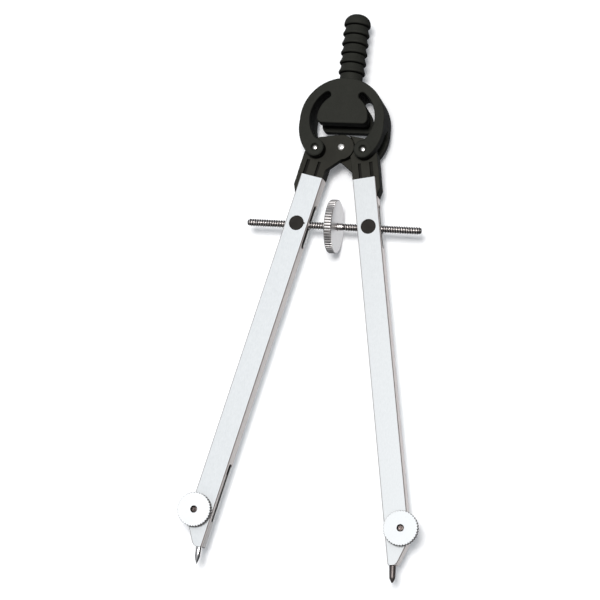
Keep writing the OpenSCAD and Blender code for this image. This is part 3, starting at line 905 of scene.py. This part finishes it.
def spindle():
    bm = bmesh.new()

    def add_ring(x, r):
        return [bm.verts.new((x, r * cos(2 * pi * j / SEG), SPZ + r * sin(2 * pi * j / SEG))) for j in range(SEG)]

    def skin(a, b):
        for j in range(SEG):
            k = (j + 1) % SEG
            bm.faces.new((a[j], a[k], b[k], b[j]))

    for sgn in (-1, 1):
        xa, xb = (3.1 if sgn > 0 else 1.6), SP_HALF - 0.35
        rows = {}
        n0, n1 = int(xa / PITCH) - 2, int(xb / PITCH) + 2
        for i in range(n0 * SAMPLES, n1 * SAMPLES + 1):
            row = []
            for j in range(SEG):
                x = PITCH * (i / SAMPLES + j / SEG)
                x = min(xb, max(xa, x))
                amp = smooth((x - xa) / 0.6) * smooth((xb - x) / 0.35)
                r = ROOT + (CREST - ROOT) * THREAD[i % SAMPLES] * amp
                a = 2 * pi * j / SEG
                row.append(bm.verts.new((sgn * x, r * cos(a), SPZ + r * sin(a))))
            rows[i] = row
        for i in range(n0 * SAMPLES, n1 * SAMPLES):
            for j in range(SEG):
                if j + 1 < SEG:
                    q = (rows[i][j], rows[i][j + 1], rows[i + 1][j + 1], rows[i + 1][j])
                elif i + SAMPLES + 1 in rows:
                    q = (rows[i][j], rows[i + SAMPLES][0], rows[i + SAMPLES + 1][0], rows[i + 1][j])
                else:
                    continue
                bm.faces.new(q)
        # shank side and chamfered end
        rings = [add_ring(sgn * x, r) for x, r in ((0.0, SHANK), (xa - 0.45, SHANK), (xa - 0.25, SHANK - 0.05), (xa, ROOT))]
        for a, b in zip(rings[:-1], rings[1:]):
            skin(a, b)
        rings = [add_ring(sgn * x, r) for x, r in ((xb, ROOT), (SP_HALF - 0.18, ROOT - 0.02), (SP_HALF - 0.04, ROOT - 0.12), (SP_HALF, ROOT - 0.26), (SP_HALF, 0.3))]
        for a, b in zip(rings[:-1], rings[1:]):
            skin(a, b)
        bm.faces.new(rings[-1])
    bmesh.ops.remove_doubles(bm, verts=bm.verts, dist=1e-4)
    bmesh.ops.dissolve_degenerate(bm, dist=1e-5, edges=bm.edges)
    loose = [f for f in bm.faces if f.calc_area() < 1e-9]
    bmesh.ops.delete(bm, geom=loose, context="FACES_ONLY")
    bmesh.ops.recalc_face_normals(bm, faces=bm.faces)
    ob = to_object(bm, "spindle_rod")
    return finish_piece(ob, "spindle_rod", "spindle_body", M_SPINDLE, "spindle", sharp=60, weighted=False)


spindle()


# ---------------------------------------------------------------- knurled discs
def knurled(name, body, mat, node_name, rings, teeth, depth, place, closed=True):
    """rings: (radius, height, share of the tooth depth). Straight knurl with rounded crests and narrow grooves."""
    us = [0.0, 0.11, 0.22, 0.36, 0.5, 0.64, 0.78, 0.89]
    n = teeth * len(us)
    made = []
    for r, h, share in rings:
        ring = []
        for t in range(teeth):
            for u in us:
                e = min(u, 1 - u)
                d = 0.0
                if e < 0.24:
                    d = depth * (1 - e / 0.24)
                d += 0.14 * depth * ((u - 0.5) / 0.5) ** 2
                a = 2 * pi * (t + u) / teeth
                q = r - d * share
                ring.append(place(q * cos(a), q * sin(a), h))
        made.append(ring)
    ob = loft(made, name, closed_loop=closed)
    return finish_piece(ob, name, body, mat, node_name, sharp=28)


WR, WT = 8.09, 1.2
knurled("wheel", "wheel", M_WHEEL, "thumbwheel",
        [(1.2, -WT, 0), (1.35, -WT, 0), (4.0, -WT, 0), (7.3, -WT, 0), (7.68, -WT + 0.02, 0.0), (7.92, -WT + 0.1, 0.5), (8.04, -WT + 0.22, 0.9), (WR, -WT + 0.36, 1), (WR, 0.0, 1), (WR, WT - 0.36, 1),
         (8.04, WT - 0.22, 0.9), (7.92, WT - 0.1, 0.5), (7.68, WT - 0.02, 0.0), (7.3, WT, 0), (4.0, WT, 0), (1.35, WT, 0), (1.2, WT, 0)],
        54, 0.28, lambda a, b, h: (h, a, SPZ + b))


def knob(side):
    x, _, z = leg_pt(7.6, 0, 116.9, side)
    yb, t, R = -HF - 0.1, 2.05, 5.09
    rings = [(1.08, 0.0, 0), (1.3, 0.0, 0), (4.5, 0.0, 0), (4.78, 0.03, 0.1), (5.0, 0.14, 0.7), (R, 0.3, 1), (R, 1.0, 1), (R, t - 0.14, 1), (R - 0.03, t - 0.05, 1),
             (R - 0.12, t, 0.9), (4.6, t, 0), (2.6, t, 0), (1.16, t, 0), (1.07, t - 0.03, 0), (1.0, t - 0.12, 0), (1.0, 1.0, 0)]
    knurled("knob_" + ("left" if side < 0 else "right"), "left_knob" if side < 0 else "right_knob", M_KNOB[side],
            "left_clamp_knob" if side < 0 else "right_clamp_knob", rings, 38, 0.24,
            lambda a, b, h: (x + a, yb - h, z + b))


knob(-1)
knob(1)


def clamp_screw(side):
    x, _, z = leg_pt(7.6, 0, 116.9, side)
    y_front = -HF - 0.1 - 2.05 + 0.5
    prof = [(0.0, y_front + 0.12), (0.42, y_front + 0.1), (0.5, y_front), (0.68, y_front), (0.84, y_front + 0.1), (0.93, y_front + 0.3), (0.93, HF + 0.0)]
    prof += [(1.55, HF + 0.01), (1.66, HF + 0.08), (1.7, HF + 0.2), (1.7, HF + 0.5), (1.63, HF + 0.62), (1.48, HF + 0.69), (0.0, HF + 0.7)]
    ob = revolve(prof, 48, "screw", place=lambda a, b, h: (x + a, h, z - b))
    c, s = CT, side * ST
    cut = loft([[(x + (a * c + b * s), y, z + (-a * s + b * c)) for a, b in ((-2, -0.2), (2, -0.2), (2, 0.2), (-2, 0.2))] for y in (HF + 0.36, HF + 2)], "slot")
    ob = boolean(ob, [cut])
    n = "clamp_screw_" + ("left" if side < 0 else "right")
    return finish_piece(ob, n, "left_leg" if side < 0 else "right_leg", M_SCREW, ("left_clamp_screw" if side < 0 else "right_clamp_screw"), sharp=35)


clamp_screw(-1)
clamp_screw(1)

# ---------------------------------------------------------------- points
TIP_O, REACH = 2.98, 131.65


def point_piece(name, side, lean, profile, mat, node_name, body):
    """A turned point: heights run from its tip up into the leg."""
    g = rad(lean)

    def place(a, b, h):
        o = TIP_O + a * cos(g) + h * sin(g)
        s = REACH + a * sin(g) - h * cos(g)
        return leg_pt(o, b, s, side)

    ob = revolve(profile, 48, name, place=place)
    return finish_piece(ob, name, body, mat, node_name, sharp=35)


NR = 0.85
needle_prof = [(0.0, 0.0), (0.06, 0.02), (0.12, 0.12), (0.29, 0.52), (0.48, 1.05), (0.64, 1.6), (0.76, 2.15), (0.82, 2.7), (NR, 3.3), (NR, 12), (NR, 23.8), (NR - 0.12, 24.0), (0.0, 24.0)]
point_piece("needle_point", -1, 9, needle_prof, M_NEEDLE, "needle", "needle_body")
lead_prof = [(0.0, 0.0), (0.12, 0.02), (0.2, 0.09), (0.52, 0.62), (0.78, 1.12), (0.85, 1.3), (0.88, 1.5), (0.93, 3.2), (0.985, 5.4), (1.0, 6.6), (1.0, 12), (1.0, 21.85), (0.85, 22.0), (0.0, 22.0)]
point_piece("lead_point", 1, 7.5, lead_prof, M_LEAD, "lead", "lead_body")

# ---------------------------------------------------------------- clamp blocks
def clamp_block(side, lean, r_bore):
    """Fills the foot of the leg behind the knob; a rib of it closes the lower part of the slit."""
    P = lambda o, y, s: leg_pt(o, y, s, side)
    o0, g = O_IN + WALL + 0.05, 0.05
    rings = []
    y0, y1 = -HF + WALL + g, HF - WALL - g
    for s in (104.0, 104.25, 112, TAPER - 0.5, TAPER, TAPER + 0.5, 123.5, END - 0.5, END - 0.3):
        o1 = max(o0 + 1.2, outer_o(s) - WALL - 0.25)
        e = 0.2 if s in (104.0, END - 0.3) else 0.0
        rings.append([P(o, y, s) for o, y in rounded_rect(o0 + e, o1 - e, y0 + e, y1 - e, 0.25)])
    block = loft(rings, "block")
    rib = []
    for s in (118.7, 118.8, 122.0, END - 0.45, END - 0.3):
        e = 0.1 if s in (118.7, END - 0.3) else 0.0
        rib.append([P(o, y, s) for o, y in rounded_rect(O_IN + 0.08 + e, o0 + 0.8, -0.68 + e, 1.45 - e, 0.12)])
    block = boolean(block, [loft(rib, "rib")], "UNION")
    gm = rad(lean)
    bore = revolve([(r_bore, -2.0), (r_bore, 29.5)], 40, "bore",
                   place=lambda a, b, h: P(TIP_O + a * cos(gm) + h * sin(gm), b, REACH + a * sin(gm) - h * cos(gm)))
    kx, _, kz = P(KX, 0, KS)
    block = boolean(block, [bore, cyl_y(kx, kz, 1.0, -4, 4, 40, "thread")])
    n = "clamp_block_" + ("left" if side < 0 else "right")
    return finish_piece(block, n, "left_leg" if side < 0 else "right_leg", M_BLOCK, ("left_clamp_block" if side < 0 else "right_clamp_block"), sharp=35)


clamp_block(-1, 9, NR + 0.02)
clamp_block(1, 7.5, 1.02)

# ---------------------------------------------------------------- camera
cam_data = bpy.data.cameras.new("camera")
cam_data.sensor_width = 36.0
cam_data.lens = 118.54
cam_data.clip_start, cam_data.clip_end = 0.01, 20
cam = bpy.data.objects.new("camera", cam_data)
bpy.context.scene.collection.objects.link(cam)
right, up, back = Vector((0.96278, 0.24357, 0.11721)), Vector((-0.05859, -0.23528, 0.97016)), Vector((0.26387, -0.94091, -0.21225))
rot = Matrix((right, up, back)).transposed().to_4x4()
cam.matrix_world = Matrix.Translation((0.14796, -0.55512, -0.04434)) @ rot
bpy.context.scene.camera = cam

# ---------------------------------------------------------------- stage and light
STAGE_Y = 0.00825


def make_stage():
    bm = bmesh.new()
    n, w, h = 12, 3.0, 3.0
    vs = [[bm.verts.new((-w / 2 + w * i / n, STAGE_Y, 0.09 - h / 2 + h * j / n)) for i in range(n + 1)] for j in range(n + 1)]
    for j in range(n):
        for i in range(n):
            bm.faces.new((vs[j][i], vs[j][i + 1], vs[j + 1][i + 1], vs[j + 1][i]))
    bm.normal_update()
    if bm.faces[:][0].normal.y > 0:
        bmesh.ops.reverse_faces(bm, faces=bm.faces)
    ob = to_object(bm, "backdrop")
    m = bpy.data.materials.new("paper_white")
    m.use_nodes = True
    nt = m.node_tree
    b = nt.nodes["Principled BSDF"]
    b.inputs["Base Color"].default_value = (0.93, 0.93, 0.93, 1)
    b.inputs["Roughness"].default_value = 1.0
    b.inputs["Specular IOR Level"].default_value = 0.0
    b.inputs["Emission Color"].default_value = (0.92, 0.95, 1.0, 1)
    b.inputs["Emission Strength"].default_value = 0.12
    out = nt.nodes["Material Output"]
    tr = node(nt, "ShaderNodeBsdfTransparent")
    geo = node(nt, "ShaderNodeNewGeometry")
    lp = node(nt, "ShaderNodeLightPath")
    mx = node(nt, "ShaderNodeMath", operation="MAXIMUM")
    nt.links.new(geo.outputs["Backfacing"], mx.inputs[0])
    nt.links.new(lp.outputs["Is Shadow Ray"], mx.inputs[1])
    mx2 = node(nt, "ShaderNodeMath", operation="MAXIMUM")
    nt.links.new(mx.outputs[0], mx2.inputs[0])
    nt.links.new(lp.outputs["Is Glossy Ray"], mx2.inputs[1])
    mix = node(nt, "ShaderNodeMixShader")
    nt.links.new(mx2.outputs[0], mix.inputs[0])
    nt.links.new(b.outputs[0], mix.inputs[1])
    nt.links.new(tr.outputs[0], mix.inputs[2])
    nt.links.new(mix.outputs[0], out.inputs["Surface"])
    ob.data.materials.append(m)


make_stage()


def area(name, direction, dist, size, radiance, color=(1, 1, 1), target=(0, 0, 0.09)):
    """A soft box in that direction from the target. radiance is what it looks like in a mirror."""
    d = Vector(direction).normalized()
    data = bpy.data.lights.new(name, "AREA")
    data.shape = "RECTANGLE"
    data.size, data.size_y = size
    data.energy = radiance * math.pi * size[0] * size[1]
    data.color = color
    ob = bpy.data.objects.new(name, data)
    bpy.context.scene.collection.objects.link(ob)
    ob.location = Vector(target) + d * dist
    ob.rotation_mode = "QUATERNION"
    ob.rotation_quaternion = (d).to_track_quat("Z", "Y")
    return ob


area("key", (0.1, -1.0, 0.025), 1.15, (0.32, 0.32), 33.2, (1.0, 0.99, 0.985))
area("back_left", (-0.8, 0.9, 0.5), 1.6, (1.0, 1.0), 1.5)
area("back_right", (0.9, 0.9, 0.25), 1.6, (0.9, 1.2), 1.0)

world = bpy.data.worlds.new("studio")
bpy.context.scene.world = world
world.use_nodes = True
wn = world.node_tree
for n_ in list(wn.nodes):
    wn.nodes.remove(n_)
wout = wn.nodes.new("ShaderNodeOutputWorld")
tcw = wn.nodes.new("ShaderNodeTexCoord")
dot = wn.nodes.new("ShaderNodeVectorMath")
dot.operation = "DOT_PRODUCT"
dot.inputs[1].default_value = Vector((-0.34, -0.88, 0.34)).normalized()
wn.links.new(tcw.outputs["Generated"], dot.inputs[0])
mr = wn.nodes.new("ShaderNodeMapRange")
mr.interpolation_type = "SMOOTHSTEP"
mr.inputs["From Min"].default_value = 0.0
mr.inputs["From Max"].default_value = 0.9
mr.inputs["To Min"].default_value = 0.05
mr.inputs["To Max"].default_value = 0.53
wn.links.new(dot.outputs["Value"], mr.inputs["Value"])
dot2 = wn.nodes.new("ShaderNodeVectorMath")
dot2.operation = "DOT_PRODUCT"
dot2.inputs[1].default_value = Vector((0.16, 0.97, 0.12)).normalized()
wn.links.new(tcw.outputs["Generated"], dot2.inputs[0])
mr2 = wn.nodes.new("ShaderNodeMapRange")
mr2.interpolation_type = "SMOOTHSTEP"
mr2.inputs["From Min"].default_value = 0.66
mr2.inputs["From Max"].default_value = 0.93
mr2.inputs["To Min"].default_value = 0.0
mr2.inputs["To Max"].default_value = 0.85
wn.links.new(dot2.outputs["Value"], mr2.inputs["Value"])
both = wn.nodes.new("ShaderNodeMath")
both.operation = "ADD"
wn.links.new(mr.outputs["Result"], both.inputs[0])
wn.links.new(mr2.outputs["Result"], both.inputs[1])
amb = wn.nodes.new("ShaderNodeBackground")
amb.inputs["Color"].default_value = (0.91, 0.95, 1.0, 1)
wn.links.new(both.outputs[0], amb.inputs["Strength"])
seen = wn.nodes.new("ShaderNodeBackground")
seen.inputs["Color"].default_value = (1, 1, 1, 1)
seen.inputs["Strength"].default_value = 1.0
lpw = wn.nodes.new("ShaderNodeLightPath")
mixw = wn.nodes.new("ShaderNodeMixShader")
wn.links.new(lpw.outputs["Is Camera Ray"], mixw.inputs[0])
wn.links.new(amb.outputs[0], mixw.inputs[1])
wn.links.new(seen.outputs[0], mixw.inputs[2])
wn.links.new(mixw.outputs[0], wout.inputs["Surface"])

bpy.context.scene.view_settings.view_transform = "Standard"
bpy.context.scene.view_settings.look = "None"
bpy.context.scene.view_settings.exposure = 0.0
bpy.context.scene.view_settings.gamma = 1.0

# ---------------------------------------------------------------- update
bpy.context.view_layer.update()
